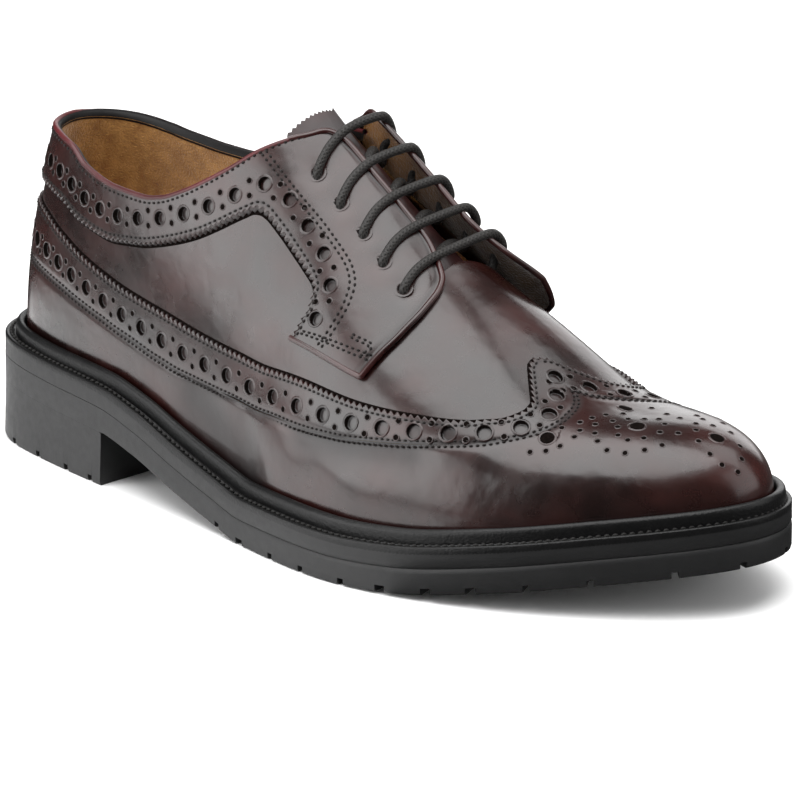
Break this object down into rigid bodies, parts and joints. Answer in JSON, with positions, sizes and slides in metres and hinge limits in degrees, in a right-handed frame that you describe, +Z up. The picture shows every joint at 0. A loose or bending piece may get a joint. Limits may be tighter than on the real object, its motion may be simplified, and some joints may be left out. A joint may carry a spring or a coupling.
{
  "type": "brogue",
  "caption": "Right longwing derby brogue in polished burgundy leather: hollow lined upper with wing overlay, laced facings, tongue, storm welt, rubber sole and heel.",
  "frame": {"origin": "on the floor, under the centre of the shoe's bounding box", "axes": "+X from heel to toe, +Y to the inner (medial) side, +Z up"},
  "size_m": [0.3026, 0.1115, 0.1256],
  "materials": {
    "outsole": "satin",
    "heel": "satin",
    "midsole": "satin",
    "welt": "satin",
    "insole": "suede",
    "upper": "polished",
    "facing": "polished",
    "tongue": "polished",
    "lace": "waxed cord"
  },
  "bodies": {
    "root": {"outsole": "outsole", "heel": "heel", "midsole": "midsole", "welt": "welt", "insole": "insole", "upper": "upper", "facing": "facing", "tongue": "tongue", "lace": "lace"}
  },
  "joints": []
}
